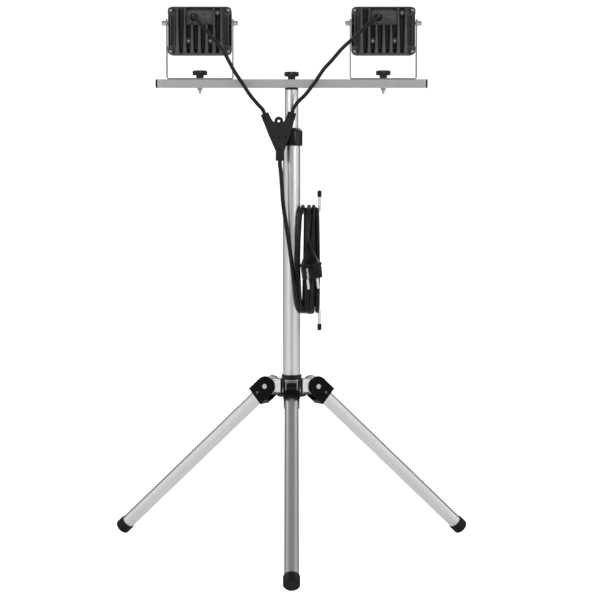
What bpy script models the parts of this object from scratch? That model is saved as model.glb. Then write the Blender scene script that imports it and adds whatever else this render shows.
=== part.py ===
"""Twin LED work light: two floodlights in U-brackets on a square crossbar, carried by a two-part
telescopic mast on a folding three-leg stand, with a mains lead wound on two hooks.

Lengths below are in millimetres, and every mesh is scaled to metres as it is made. +Z is up. The
lamps shine towards +Y. The mast axis is x = 0, y = MAST_Y, and the floor is z = 0.
"""

import math

import bmesh
import bpy
from mathutils import Matrix, Vector

MM = 0.001
GAP = 0.3  # between neighbouring pieces
SIDES = 24  # facets round a tube
LEFT_RIGHT = (("left", -1), ("right", 1))

# Stand
MAST_Y = 91.25  # sets the origin midway between the front foot and the rear feet
LEG_AZIMUTHS = {"front": -90, "left": 150, "right": 30}
LEG_SLOPE = 41.4  # degrees below the horizontal when the stand is open
PIVOT_R = 47.5
PIVOT_Z = 297.0
LEG_LENGTH = 435.15  # from the pivot to the end of the foot
LEG_R, LEG_WALL = 12.7, 1.2
FOOT_R, FOOT_LENGTH = 14.4, 20.5
FORK_HALF_WIDTH, CHEEK = 14.2, 2.6
FORK_R = 18.6  # round end of a fork's cheek
FORK_BLOCK = (18.5, 29.5)  # solid end of the fork, measured along the leg
PIN_R, PIN_HOLE_R = 3.0, 3.15
HUB_FLAT_R = 16.3  # seats for the three hinge brackets
HUB_Z = (281.0, 320.0)

# Mast
LOWER_R, LOWER_WALL = 15.6, 1.5
LOWER_Z = (312.3, 748.0)
UPPER_R, UPPER_WALL = 12.0, 1.5
UPPER_Z = (395.0, 831.0)
COLLAR_R, COLLAR_Z = 20.0, (731.0, 763.0)

# Crossbar
BAR = 15.0
BAR_WALL = 1.2
BAR_HALF_LENGTH = 240.0
BAR_Z = (834.5, 849.5)
LAMP_X = 164.0

# Lamps, drawn about the pivot axis: x across, y towards the light, z up
PIVOT_HEIGHT = 949.5
LAMP_W, LAMP_H, LAMP_CORNER = 114.0, 86.0, 9.0
LAMP_DROP = 14.0  # the lamp's middle hangs this far below the pivots
FIN_PITCH, FIN_THICK = 13.0, 2.2
BODY_Y = (-8.0, 8.0)
FIN_BACK_Y = -20.0
BEZEL_Y = (8.3, 16.0)
BRACKET_HALF, BRACKET_THICK, BRACKET_END_R = 60.0, 2.0, 8.0
GLAND_XZ = (-10.0, 8.7)
GLAND_FACE_Y = -26.5

# Lead
LAMP_LEAD_R = 3.4
TRUNK_R = 3.75
HOOK_Z = {"upper": 610.9, "lower": 440.0}
HOOK_REACH, HOOK_R = 50.1, 2.4
HANK_X = (18.0, 43.8)
SPLITTER_Y = (-37.0, -23.0)
PLUG_FACE = (37.0, -40.5, 495.0)
PLUG_TILT = 6.5
PLUG_TURN = -24.0

COLOURS = {  # material: (colour, metallic, roughness)
    "satin_aluminium": ((0.72, 0.72, 0.71), 1.0, 0.32),
    "bright_steel": ((0.70, 0.69, 0.67), 1.0, 0.25),
    "black_plastic": ((0.02, 0.02, 0.02), 0.0, 0.35),
    "black_rubber": ((0.025, 0.025, 0.025), 0.0, 0.75),
    "cable_rubber": ((0.03, 0.03, 0.03), 0.0, 0.6),
    "grey_casting": ((0.07, 0.07, 0.072), 0.0, 0.5),
    "lamp_glass": ((0.9, 0.95, 0.95), 0.0, 0.05),
    "mirror_sheet": ((0.85, 0.85, 0.85), 1.0, 0.12),
    "led_board": ((0.85, 0.8, 0.45), 0.0, 0.5),
}


# Scene and drawing helpers


def clear_scene():
    for obj in list(bpy.data.objects):
        bpy.data.objects.remove(obj, do_unlink=True)


def new_collection(name):
    collection = bpy.data.collections.new(name)
    bpy.context.scene.collection.children.link(collection)
    return collection


def new_material(name, colour, metallic, roughness):
    material = bpy.data.materials.new(name)
    material.use_nodes = True
    shader = material.node_tree.nodes["Principled BSDF"]
    shader.inputs["Base Color"].default_value = (*colour, 1)
    shader.inputs["Metallic"].default_value = metallic
    shader.inputs["Roughness"].default_value = roughness
    return material


def anchor(name, place, parent=None, turn=(0, 0, 0)):
    """An empty at a joint or a mounting point. Pieces are drawn about it."""
    empty = bpy.data.objects.new(name, None)
    PARTS.objects.link(empty)
    empty.location = Vector(place) * MM
    empty.rotation_euler = [math.radians(angle) for angle in turn]
    empty.parent = parent
    return empty


def to_object(name, bm, collection, parent):
    bmesh.ops.remove_doubles(bm, verts=bm.verts, dist=1e-4)
    bmesh.ops.recalc_face_normals(bm, faces=bm.faces)
    bmesh.ops.scale(bm, vec=(MM, MM, MM), verts=bm.verts)
    mesh = bpy.data.meshes.new(name)
    bm.to_mesh(mesh)
    bm.free()
    obj = bpy.data.objects.new(name, mesh)
    collection.objects.link(obj)
    obj.parent = parent
    return obj


def piece(name, bm, material, parent):
    """One sub-part: a named object with its own material."""
    obj = to_object(name, bm, PARTS, parent)
    obj.data.materials.append(MATERIALS[material])
    obj.data.shade_smooth()
    obj.data.set_sharp_from_angle(angle=math.radians(35))
    return obj


def combine(obj, bm, operation):
    """Cut a shape from a piece, or join one to it, through a Boolean modifier."""
    tool = to_object(f"{obj.name}_{operation.lower()}", bm, CUTTERS, obj.parent)
    tool.hide_render = True
    tool.display_type = "WIRE"
    modifier = obj.modifiers.new(operation.lower(), "BOOLEAN")
    modifier.operation = operation
    modifier.solver = "EXACT"
    modifier.object = tool


def cut(obj, bm):
    combine(obj, bm, "DIFFERENCE")


def join(obj, bm):
    combine(obj, bm, "UNION")


def skin(rings, closed=False):
    """A solid through rings of equal size. A closed one joins its last ring to its first."""
    bm = bmesh.new()
    rows = [[bm.verts.new(point) for point in ring] for ring in rings]
    pairs = list(zip(rows, rows[1:]))
    if closed:
        pairs.append((rows[-1], rows[0]))
    else:
        bm.faces.new(rows[0])
        bm.faces.new(rows[-1])
    for row, following in pairs:
        for i, corner in enumerate(row):
            j = (i + 1) % len(row)
            bm.faces.new((corner, row[j], following[j], following[i]))
    return bm


def circle(radius, height, sides=SIDES):
    angles = [2 * math.pi * i / sides for i in range(sides)]
    return [(radius * math.cos(a), radius * math.sin(a), height) for a in angles]


def turned(profile, sides=SIDES, closed=False):
    """A body of revolution about Z from (radius, height) points."""
    return skin([circle(radius, height, sides) for radius, height in profile], closed)


def rectangle(width, height, corner, level, steps=3):
    """A rounded rectangle across X and Z, at the level y."""
    points = []
    for i, (sx, sz) in enumerate(((1, 1), (-1, 1), (-1, -1), (1, -1))):
        cx, cz = sx * (width / 2 - corner), sz * (height / 2 - corner)
        for step in range(steps + 1):
            angle = math.radians(90 * (i + step / steps))
            points.append((cx + corner * math.cos(angle), level, cz + corner * math.sin(angle)))
    return points


def box(low, high):
    size = [b - a for a, b in zip(low, high)]
    middle = [(a + b) / 2 for a, b in zip(low, high)]
    bm = bmesh.new()
    bmesh.ops.create_cube(bm, size=1)
    bmesh.ops.scale(bm, vec=size, verts=bm.verts)
    bmesh.ops.translate(bm, vec=middle, verts=bm.verts)
    return bm


def rod(radius, start, end, sides=SIDES):
    """A straight round bar between two points."""
    start, end = Vector(start), Vector(end)
    bm = bmesh.new()
    bmesh.ops.create_cone(
        bm, cap_ends=True, segments=sides, radius1=radius, radius2=radius, depth=(end - start).length
    )
    turn = (end - start).to_track_quat("Z", "Y").to_matrix().to_4x4()
    bm.transform(Matrix.Translation((start + end) / 2) @ turn)
    return bm


def prism(outline, axis, low, high):
    """An outline in the two directions across an axis, drawn out along it."""
    index = "XYZ".index(axis)

    def at(level):
        return [(*p[:index], level, *p[index:]) for p in outline]

    return skin([at(low), at(high)])


def arc(radius, start, end, steps, centre=(0, 0)):
    angles = [math.radians(start + (end - start) * i / steps) for i in range(steps + 1)]
    return [(centre[0] + radius * math.cos(a), centre[1] + radius * math.sin(a)) for a in angles]


def smooth_route(route, spacing):
    """Points about this far apart on a smooth curve through the route."""
    points = [Vector(point) for point in route]
    ends = [points[0] * 2 - points[1], *points, points[-1] * 2 - points[-2]]
    path = []
    for a, b, c, d in zip(ends, ends[1:], ends[2:], ends[3:]):
        steps = max(1, round((c - b).length / spacing))
        for step in range(steps):
            t = step / steps
            bend = (2 * a - 5 * b + 4 * c - d) * t * t + (3 * (b - c) + d - a) * t**3
            path.append(b + 0.5 * ((c - a) * t + bend))
    return [*path, points[-1]]


def swept(path, radii, sides):
    """A round section carried along a path, with a radius at each point."""
    rings = []
    side = Vector((0, 1, 0))
    for i, (point, radius) in enumerate(zip(path, radii)):
        along = (path[min(i + 1, len(path) - 1)] - path[max(i - 1, 0)]).normalized()
        side = (side - along * side.dot(along)).normalized()
        up = along.cross(side)
        rings.append([point + side * x + up * y for x, y, _ in circle(radius, 0, sides)])
    return skin(rings)


def cord(name, route, radius, parent):
    """A length of lead as a bevelled curve with filled ends."""
    curve = bpy.data.curves.new(name, "CURVE")
    curve.dimensions = "3D"
    curve.bevel_depth = radius * MM
    curve.bevel_resolution = 2
    curve.use_fill_caps = True
    path = smooth_route(route, 5 * radius)
    spline = curve.splines.new("POLY")
    spline.points.add(len(path) - 1)
    for target, point in zip(spline.points, path):
        target.co = (*(point * MM), 1)
    curve.materials.append(MATERIALS["cable_rubber"])
    obj = bpy.data.objects.new(name, curve)
    PARTS.objects.link(obj)
    obj.parent = parent
    return obj


# Stand


def build_hub(mast):
    bottom, top = HUB_Z
    socket_r = LOWER_R + GAP
    spigot_r = LOWER_R - LOWER_WALL - GAP
    seat_z = LOWER_Z[0] - GAP
    profile = [
        (10, bottom),
        (26, bottom),
        (26, bottom + 5),
        (18.2, bottom + 5),
        (18.2, top),
        (socket_r, top),
        (socket_r, seat_z),
        (spigot_r, seat_z),
        (spigot_r, seat_z + 36),
        (10, seat_z + 38),
    ]
    hub = piece("hub_body", turned(profile), "black_plastic", mast)
    for azimuth in LEG_AZIMUTHS.values():
        seat = box((HUB_FLAT_R, -13, bottom + 6), (32, 13, seat_z))
        seat.transform(Matrix.Rotation(math.radians(azimuth), 4, "Z"))
        cut(hub, seat)


def bracket_arm_outline():
    """Side view of a hinge bracket's arm. Its flat shoulder stops the opened leg."""
    slope = math.radians(-LEG_SLOPE)
    along = Vector((math.cos(slope), math.sin(slope)))
    across = Vector((-along.y, along.x))
    shoulder = FORK_BLOCK[0] - GAP
    corner = along * shoulder + across * 14
    foot = along * shoulder
    seat = HUB_FLAT_R + GAP - PIVOT_R
    return [
        (seat, 14.5),
        (-18, 14.5),
        *arc(17.5, 125, 35, 5),
        tuple(corner),
        tuple(foot),
        *arc(17.5, -LEG_SLOPE - 8, -125, 4),
        (-18, -9.4),
        (seat, -9.4),
    ]


def build_leg(name, azimuth, mast):
    """A hinge bracket with its pin, then the leg itself, drawn along +X from the pin."""
    angle = math.radians(azimuth)
    pivot = (PIVOT_R * math.cos(angle), PIVOT_R * math.sin(angle), PIVOT_Z)
    seat = anchor(f"seat_{name}", pivot, mast, (0, 0, azimuth))
    arm_out = FORK_HALF_WIDTH - CHEEK - GAP
    arm_in = arm_out - 2

    bracket = piece(
        f"hinge_bracket_{name}",
        prism(bracket_arm_outline(), "Y", -arm_out, arm_out),
        "bright_steel",
        seat,
    )
    cut(bracket, box((-PIVOT_R + HUB_FLAT_R + GAP + 2, -arm_in, -30), (40, arm_in, 30)))
    cut(bracket, rod(PIN_HOLE_R, (0, -20, 0), (0, 20, 0), 16))

    head = FORK_HALF_WIDTH + GAP
    heads = ((4.6, head), (4.6, head + 1.6))
    pin = turned([*[(r, -z) for r, z in reversed(heads)], (PIN_R, -head), (PIN_R, head), *heads], 16)
    pin.transform(Matrix.Rotation(math.radians(90), 4, "X"))
    piece(f"hinge_pin_{name}", pin, "bright_steel", seat)

    leg = anchor(f"leg_{name}_pivot", pivot, mast, (0, LEG_SLOPE, azimuth))
    back, end = FORK_BLOCK
    half = FORK_HALF_WIDTH
    outline = [(end, -FORK_R), (end, FORK_R), *arc(FORK_R, 90, 270, 10)]
    fork = piece(f"leg_fork_{name}", prism(outline, "Y", -half, half), "black_plastic", leg)
    cut(fork, box((-30, -half + CHEEK, -30), (back, half - CHEEK, 30)))
    cut(fork, rod(PIN_HOLE_R, (0, -20, 0), (0, 20, 0), 16))
    cut(fork, rod(LEG_R + GAP, (back + 3, 0, 0), (end + 5, 0, 0)))
    join(fork, rod(LEG_R - LEG_WALL - GAP, (back + 1, 0, 0), (end + 30, 0, 0)))

    tube_end = LEG_LENGTH - 4
    inner = LEG_R - LEG_WALL
    start = back + 3.3
    profile = [(LEG_R, start), (LEG_R, tube_end), (inner, tube_end), (inner, start)]
    tube = turned(profile, closed=True)
    tube.transform(Matrix.Rotation(math.radians(90), 4, "Y"))
    piece(f"leg_tube_{name}", tube, "satin_aluminium", leg)

    mouth = LEG_LENGTH - FOOT_LENGTH
    foot = turned(
        [
            (LEG_R + GAP, tube_end + GAP),
            (LEG_R + GAP, mouth),
            (FOOT_R - 0.8, mouth),
            (FOOT_R, mouth + 1.5),
            (FOOT_R, LEG_LENGTH - 2.4),
            (FOOT_R - 2.4, LEG_LENGTH),
        ]
    )
    foot.transform(Matrix.Rotation(math.radians(90), 4, "Y"))
    piece(f"foot_{name}", foot, "black_rubber", leg)


# Mast


def tube_piece(name, radius, wall, span, material, parent):
    low, high = span
    inner = radius - wall
    profile = [(radius, low), (radius, high), (inner, high), (inner, low)]
    return piece(name, turned(profile, closed=True), material, parent)


def build_mast(mast):
    tube_piece("lower_tube", LOWER_R, LOWER_WALL, LOWER_Z, "satin_aluminium", mast)
    tube_piece("upper_tube", UPPER_R, UPPER_WALL, UPPER_Z, "satin_aluminium", mast)
    bush_r = LOWER_R - LOWER_WALL - GAP
    low = UPPER_Z[0]
    tube_piece("slide_bush", bush_r, bush_r - UPPER_R - 0.15, (low, low + 20), "black_plastic", mast)

    rim = LOWER_Z[1] + GAP
    bore = UPPER_R + 0.15
    profile = [
        (bush_r, rim - 32),
        (bush_r, rim),
        (LOWER_R, rim),
        (LOWER_R, rim + 2),
        (14.2, rim + 2.5),
        (13.2, rim + 9.7),
        (bore, rim + 9.7),
        (bore, rim - 32),
    ]
    collet = piece("clamp_collet", turned(profile, closed=True), "black_plastic", mast)
    cut(collet, box((-20, -0.8, rim + 3), (20, 0.8, rim + 12)))
    cut(collet, box((-0.8, -20, rim + 3), (0.8, 20, rim + 12)))

    low, high = COLLAR_Z
    wide = LOWER_R + 0.35
    profile = [
        (COLLAR_R - 0.8, low),
        (COLLAR_R, low + 1),
        (COLLAR_R, high - 7),
        (13.9, high),
        (UPPER_R + 0.4, high),
        (UPPER_R + 0.4, high - 3.5),
        (13.6, high - 4.5),
        (14.7, high - 11.5),
        (wide, high - 11.8),
        (wide, low),
    ]
    piece("clamp_collar", turned(profile, closed=True), "black_plastic", mast)

    top = UPPER_Z[1]
    insert_r = UPPER_R - UPPER_WALL - GAP
    flange_z = (top + GAP, BAR_Z[0] - GAP)
    profile = [
        (insert_r - 1, top - 30),
        (insert_r, top - 28),
        (insert_r, flange_z[0]),
        (UPPER_R, flange_z[0]),
        (UPPER_R, flange_z[1]),
    ]
    plug = piece("mast_top_plug", turned(profile), "black_plastic", mast)
    cut(plug, rod(PIN_HOLE_R + 0.15, (0, 0, top - 20), (0, 0, top + 10), 16))


# Crossbar


def hexagon(radius, height):
    """A six-sided ring of 12 points: its corners and the middles of its sides."""
    flat = radius * math.cos(math.pi / 6)
    reach = [flat if i % 2 else radius for i in range(12)]
    angles = [math.pi * i / 6 for i in range(12)]
    return [(r * math.cos(a), r * math.sin(a), height) for r, a in zip(reach, angles)]


def build_crossbar(mast):
    half = BAR / 2
    inner = half - BAR_WALL
    middle = (BAR_Z[0] + BAR_Z[1]) / 2
    length = BAR_HALF_LENGTH
    outside = box((-length, -half, BAR_Z[0]), (length, half, BAR_Z[1]))
    bar = piece("crossbar", outside, "satin_aluminium", mast)
    cut(bar, box((-length - 5, -inner, middle - inner), (length + 5, inner, middle + inner)))
    for x in (-LAMP_X, 0, LAMP_X):
        radius = 2.8 if x else PIN_HOLE_R + 0.15
        cut(bar, rod(radius, (x, 0, BAR_Z[0] - 5), (x, 0, BAR_Z[1] + 5), 16))

    plug = inner - GAP
    for side, sign in LEFT_RIGHT:
        squares = [
            (plug - 1, length - 12),
            (plug, length - 10),
            (plug, length + GAP),
            (half, length + GAP),
            (half, length + 2.5),
            (half - 0.6, length + 3),
        ]
        corners = ((-1, -1), (1, -1), (1, 1), (-1, 1))
        rings = [[(sign * x, a * s, middle + b * s) for a, b in corners] for s, x in squares]
        piece(f"bar_cap_{side}", skin(rings), "black_plastic", mast)

        top = BAR_Z[0] - GAP
        outer = [hexagon(4.6, z) for z in (top - 4.3, top)]
        bore = [circle(2.65, z, 12) for z in (top, top - 4.3)]
        nut = skin([*outer, *bore], closed=True)
        bmesh.ops.translate(nut, vec=(sign * LAMP_X, 0, 0), verts=nut.verts)
        piece(f"bracket_nut_{side}", nut, "bright_steel", mast)


def lobed(radius, height, lobes=8):
    """A knob's grip in plan: three points for each lobe."""
    count = 3 * lobes
    radii = [radius * (1 if i % 3 else 0.9) for i in range(count)]
    return [
        (r * math.cos(2 * math.pi * i / count), r * math.sin(2 * math.pi * i / count), height)
        for i, r in enumerate(radii)
    ]


def build_knob(name, x, seat_z, bolt_r, bolt_end, mast):
    """A hand knob on its bolt, drawn about its own axis."""
    axis = anchor(f"{name}_axis", (x, 0, seat_z), mast)
    rings = [
        circle(bolt_r * 0.8, bolt_end - seat_z),
        circle(bolt_r, bolt_end - seat_z + 1),
        circle(bolt_r, GAP),
        circle(7, GAP),
        circle(7, 5),
        lobed(12.4, 5.2),
        lobed(13.6, 6.4),
        lobed(13.6, 11.4),
        lobed(12.2, 13.2),
        lobed(9.5, 13.7),
    ]
    piece(name, skin(rings), "black_plastic", axis)


def build_knobs(mast):
    build_knob("centre_knob", 0, BAR_Z[1], PIN_R, 815, mast)
    for side, sign in LEFT_RIGHT:
        seat_z = BAR_Z[1] + GAP + BRACKET_THICK
        build_knob(f"bracket_knob_{side}", sign * LAMP_X, seat_z, 2.5, 823.7, mast)


def build_lamp_bracket(side, sign, mast):
    """A flat strip bent to a U, with round ends and a hole at each pivot."""
    base = BAR_Z[1] + GAP - PIVOT_HEIGHT
    out, inn, bend = BRACKET_HALF, BRACKET_HALF - BRACKET_THICK, 4
    left = [(-inn, 0), (-out, 0), *arc(bend, 180, 270, 3, (bend - out, base + bend))]
    right = [(-x, z) for x, z in reversed(left)]
    inner_bend = bend - BRACKET_THICK
    floor = base + BRACKET_THICK
    inside = arc(inner_bend, 0, -90, 3, (inn - inner_bend, floor + inner_bend))
    outline = [*left, *right, *inside, *[(-x, z) for x, z in reversed(inside)]]
    place = anchor(f"lamp_bracket_{side}_place", (sign * LAMP_X, 0, PIVOT_HEIGHT), mast)
    width = BRACKET_END_R
    bracket = piece(f"lamp_bracket_{side}", prism(outline, "Y", -width, width), "bright_steel", place)
    for end in (-1, 1):
        join(bracket, rod(width, (end * inn, 0, 0), (end * out, 0, 0)))
    cut(bracket, rod(2.9, (-80, 0, 0), (80, 0, 0), 16))
    cut(bracket, rod(2.8, (0, 0, base - 5), (0, 0, base + 8), 16))


# Lamps


def lamp_box(x, y, z):
    """A box given as (low, high) pairs about the lamp's middle."""
    low, high = zip(x, y, (z[0] - LAMP_DROP, z[1] - LAMP_DROP))
    return box(low, high)


def lamp_frame(sizes):
    """Rounded rectangles about the lamp's middle, as (width, height, corner, level)."""
    rings = [rectangle(*size) for size in sizes]
    return [[(x, y, z - LAMP_DROP) for x, y, z in ring] for ring in rings]


def build_housing(side, pivot):
    back, front = BODY_Y
    sizes = [
        (LAMP_W - 3, LAMP_H - 3, LAMP_CORNER, back),
        (LAMP_W, LAMP_H, LAMP_CORNER, back + 2),
        (LAMP_W, LAMP_H, LAMP_CORNER, front),
    ]
    housing = piece(f"heatsink_body_{side}", skin(lamp_frame(sizes)), "grey_casting", pivot)
    for sign in (-1, 1):
        pocket = sorted((sign * 48.5, sign * 62))
        cut(housing, lamp_box(pocket, (back - 4, 4), (-27, 29)))
        join(housing, rod(4.5, (sign * 47, 0, 0), (sign * 57, 0, 0), 16))

    for number in range(-3, 4):
        middle = number * FIN_PITCH
        top = 12 if abs(number) < 2 else 40
        fin = (middle - FIN_THICK / 2, middle + FIN_THICK / 2)
        join(housing, lamp_box(fin, (FIN_BACK_Y, back + 1), (-40, top)))
    join(housing, lamp_box((-25.4, 25.4), (-14, back + 1), (11, 35)))
    for x, z in ((32.5, 31.4), (-19.5, -18.3), (19.5, -18.3)):
        join(housing, rod(4.6, (x, -12, z - LAMP_DROP), (x, back + 1, z - LAMP_DROP), 12))

    cut(housing, lamp_box((-48, 48), (-5, front + 5), (-34, 34)))
    gx, gz = GLAND_XZ
    cut(housing, rod(3.6, (gx, -20, gz), (gx, 0, gz), 16))
    for sign in (-1, 1):
        cut(housing, rod(2.7, (sign * 50.5, 0, 0), (sign * 60, 0, 0), 16))
        for z in (-36.5 - LAMP_DROP, 36.5 - LAMP_DROP):
            cut(housing, rod(3.6, (sign * 51, back - 5, z), (sign * 51, back + 5, z), 12))


def build_lamp_front(side, pivot):
    back, front = BEZEL_Y
    outer = [
        (LAMP_W, LAMP_H, LAMP_CORNER, back),
        (LAMP_W, LAMP_H, LAMP_CORNER, front - 2),
        (LAMP_W - 3, LAMP_H - 3, LAMP_CORNER, front),
    ]
    inner = [
        (92, 64, 4, front),
        (90, 62, 4, front - 2.7),
        (97, 69, 4, front - 2.7),
        (97, 69, 4, back),
    ]
    piece(f"front_bezel_{side}", skin(lamp_frame(outer + inner), closed=True), "grey_casting", pivot)

    glass = [(96, 68, 3.5, front - 6), (96, 68, 3.5, front - 3)]
    piece(f"front_glass_{side}", skin(lamp_frame(glass)), "lamp_glass", pivot)

    funnel = [(94, 66, 3, 9.6), (92, 64, 3, 9.6), (34, 28, 2, -2), (36, 30, 2, -2)]
    piece(f"reflector_{side}", skin(lamp_frame(funnel), closed=True), "mirror_sheet", pivot)

    board = [(72, 52, 3, -4.7), (72, 52, 3, -3.1), (22, 22, 1, -3.1), (22, 22, 1, -2.3)]
    board = piece(f"led_board_{side}", skin(lamp_frame(board)), "led_board", pivot)
    for x in (-30, 30):
        join(board, lamp_box((x - 3, x + 3), (-3.5, 0.5), (-12, 12)))


def build_lamp(side, sign, mast):
    pivot = anchor(f"lamp_{side}_pivot", (sign * LAMP_X, 0, PIVOT_HEIGHT), mast)
    build_housing(side, pivot)
    build_lamp_front(side, pivot)

    profile = [(3.3, 8), (3.3, 14 + GAP), (6.5, 14 + GAP), (6.5, 19.5), (5.4, 24), (4.4, -GLAND_FACE_Y)]
    gland = turned(profile, 16)
    gland.transform(Matrix.Rotation(math.radians(90), 4, "X"))
    bmesh.ops.translate(gland, vec=(GLAND_XZ[0], 0, GLAND_XZ[1]), verts=gland.verts)
    piece(f"cable_gland_{side}", gland, "black_rubber", pivot)

    for end, way in LEFT_RIGHT:
        seat = BRACKET_HALF + GAP
        profile = [
            (2.5, 51),
            (2.5, seat),
            (5, seat),
            (5, seat + 2),
            (4.1, seat + 2),
            (4.1, seat + 7.4),
            (3.4, seat + 8),
        ]
        bolt = turned(profile, 12)
        bolt.transform(Matrix.Rotation(math.radians(90 * way), 4, "Y"))
        piece(f"pivot_bolt_{side}_{end}", bolt, "bright_steel", pivot)


# Lead, hooks and plug


def build_hooks(mast):
    """Two L-shaped rods with soft tips. The upper one turns up and the lower one down."""
    for name, up in (("upper", 1), ("lower", -1)):
        z = HOOK_Z[name]
        start = LOWER_R + GAP
        bend = arc(6, -90 * up, 0, 4, (HOOK_REACH - 6, z + 6 * up))
        places = [(start, z), (start + 1.5, z), (start + 1.6, z), *bend, (HOOK_REACH, z + 36 * up)]
        path = [Vector((x, 0, height)) for x, height in places]
        radii = [4.5, 4.5, *[HOOK_R] * (len(path) - 2)]
        piece(f"hook_{name}", swept(path, radii, 12), "bright_steel", mast)

        tip = turned([(2.7, 36 + GAP), (2.7, 28.6), (3.75, 28.6), (3.75, 38), (3, 39.8), (1.6, 40.4)], 12)
        flip = Matrix.Diagonal((1, 1, up, 1))
        tip.transform(Matrix.Translation((HOOK_REACH, 0, z)) @ flip)
        piece(f"hook_tip_{name}", tip, "black_rubber", mast)


def racetrack(half_width, low, high, x, steps=8):
    """A long loop in the plane across X."""
    top = arc(half_width, 0, 180, steps, (0, high - half_width))
    bottom = arc(half_width, 180, 360, steps, (0, low + half_width))
    return [(x, y, z) for y, z in top + bottom]


def plug_point(*offset):
    """A point given about the plug's face, moved to where the tilted plug hangs."""
    turn = Matrix.Rotation(math.radians(-PLUG_TILT), 4, "Y")
    return Vector(PLUG_FACE) + turn @ Vector(offset)


def build_hank(mast):
    """The wound lead as one ring round both hooks, with the short tail down to the plug."""
    outer = (18, 425.5, 626.5)
    inner = (5.6, HOOK_Z["lower"] - HOOK_R - GAP, HOOK_Z["upper"] + HOOK_R + GAP)
    rings = [racetrack(*outer, x) for x in HANK_X]
    rings += [racetrack(*inner, x) for x in reversed(HANK_X)]
    hank = piece("lead_hank", skin(rings, closed=True), "cable_rubber", mast)
    start = plug_point(0, 0, 65.5 + GAP)
    above = plug_point(0, 0, 76)
    path = smooth_route([start, above, (29, -36, 590), (30, -27, 604), (31, -12, 611)], 12)
    join(hank, swept(path, [TRUNK_R] * len(path), 12))


def build_plug(mast):
    """An earthed two-pin plug hanging in front of the hank, drawn about its face."""
    place = anchor("plug_place", PLUG_FACE, mast, (0, -PLUG_TILT, 0))
    profile = [
        (17.2, 0),
        (18.2, 1),
        (18.6, 21.3),
        (19.4, 21.6),
        (19.4, 27),
        (17.4, 28.5),
        (9.2, 45),
        (8.2, 47),
        (8.2, 58),
        (5.6, 65.5),
    ]
    body = piece("plug_body", turned(profile), "black_rubber", place)
    turn = Matrix.Rotation(math.radians(PLUG_TURN), 4, "Z")
    for side, sign in LEFT_RIGHT:
        x, y, _ = turn @ Vector((sign * 9.5, 0, 0))
        cut(body, rod(2.7, (x, y, -5), (x, y, 8), 12))
        pin = turned([(1.5, -19), (2.4, -17.6), (2.4, 7.5)], 12)
        bmesh.ops.translate(pin, vec=(x, y, 0), verts=pin.verts)
        piece(f"plug_pin_{side}", pin, "bright_steel", place)


def build_splitter(mast):
    """The moulded Y where the two lamp leads join the trunk, with its hanging eye."""
    outline = [
        (-54.3, 784.8),
        (-41.9, 789.7),
        (-34.4, 775),
        (-28.5, 770.5),
        (-22.7, 769),
        (-16.9, 770.5),
        (-12, 775),
        (-5.9, 791.1),
        (7.8, 787.4),
        (-2.9, 750.7),
        (-13.5, 720.5),
        (-13.8, 704.3),
        (-27.7, 704.3),
        (-27.8, 720.5),
        (-41, 750.7),
    ]
    low, high = SPLITTER_Y
    splitter = piece("cable_splitter", prism(outline, "Y", low, high), "black_rubber", mast)
    middle = (low + high) / 2
    join(splitter, rod(7.7, (-22.7, middle - 3, 774.3), (-22.7, middle + 3, 774.3), 20))
    cut(splitter, rod(2.7, (-22.7, middle - 12, 774.3), (-22.7, middle + 12, 774.3), 12))
    bevel = splitter.modifiers.new("edge", "BEVEL")
    bevel.width = 1.2 * MM
    bevel.segments = 1
    bevel.limit_method = "ANGLE"
    bevel.angle_limit = math.radians(50)


def build_leads(mast):
    gland_y = GLAND_FACE_Y - GAP
    gland_z = PIVOT_HEIGHT + GLAND_XZ[1]
    left_x = GLAND_XZ[0] - LAMP_X
    right_x = GLAND_XZ[0] + LAMP_X
    left = [
        (left_x, gland_y, gland_z),
        (left_x, gland_y - 7, gland_z),
        (left_x + 2, -42, gland_z - 2),
        (-167, -47.5, 951),
        (-156, -50, 938),
        (-140, -48, 921),
        (-121.5, -44, 899),
        (-109.5, -41, 877),
        (-99.5, -38, 859),
        (-87.5, -35.5, 841.5),
        (-73.5, -33, 820),
        (-59.5, -31, 803.5),
        (-50.8, -30, 794.2),
        (-48.2, -30, 787.7),
    ]
    right = [
        (right_x, gland_y, gland_z),
        (right_x, gland_y - 7, gland_z),
        (right_x - 2, -42, gland_z - 2),
        (148, -47, 953),
        (138, -50, 945.5),
        (124, -49, 933.5),
        (105, -45, 916),
        (88.5, -42, 901),
        (72, -39, 882),
        (56.5, -36.5, 865),
        (41.5, -34, 843),
        (24.5, -31.5, 821),
        (11.5, -30.5, 808.5),
        (2.9, -30, 796.5),
        (1.1, -30, 789.8),
    ]
    trunk = [
        (-20.8, -30, 704),
        (-20.8, -30, 697),
        (-19.2, -29.5, 684),
        (-17.2, -28, 657),
        (-15, -26, 626.5),
        (-9, -24, 585.5),
        (-3, -23, 544.5),
        (2.3, -22, 503.5),
        (6.5, -21, 471),
        (9.8, -19.2, 456),
        (13.4, -15.8, 446.8),
        (17.7, -15.8, 446.8),
    ]
    cord("lamp_lead_left", left, LAMP_LEAD_R, mast)
    cord("lamp_lead_right", right, LAMP_LEAD_R, mast)
    cord("trunk_lead", trunk, TRUNK_R, mast)


clear_scene()
PARTS = new_collection("work_light")
CUTTERS = new_collection("cutters")
MATERIALS = {name: new_material(name, *look) for name, look in COLOURS.items()}

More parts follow.
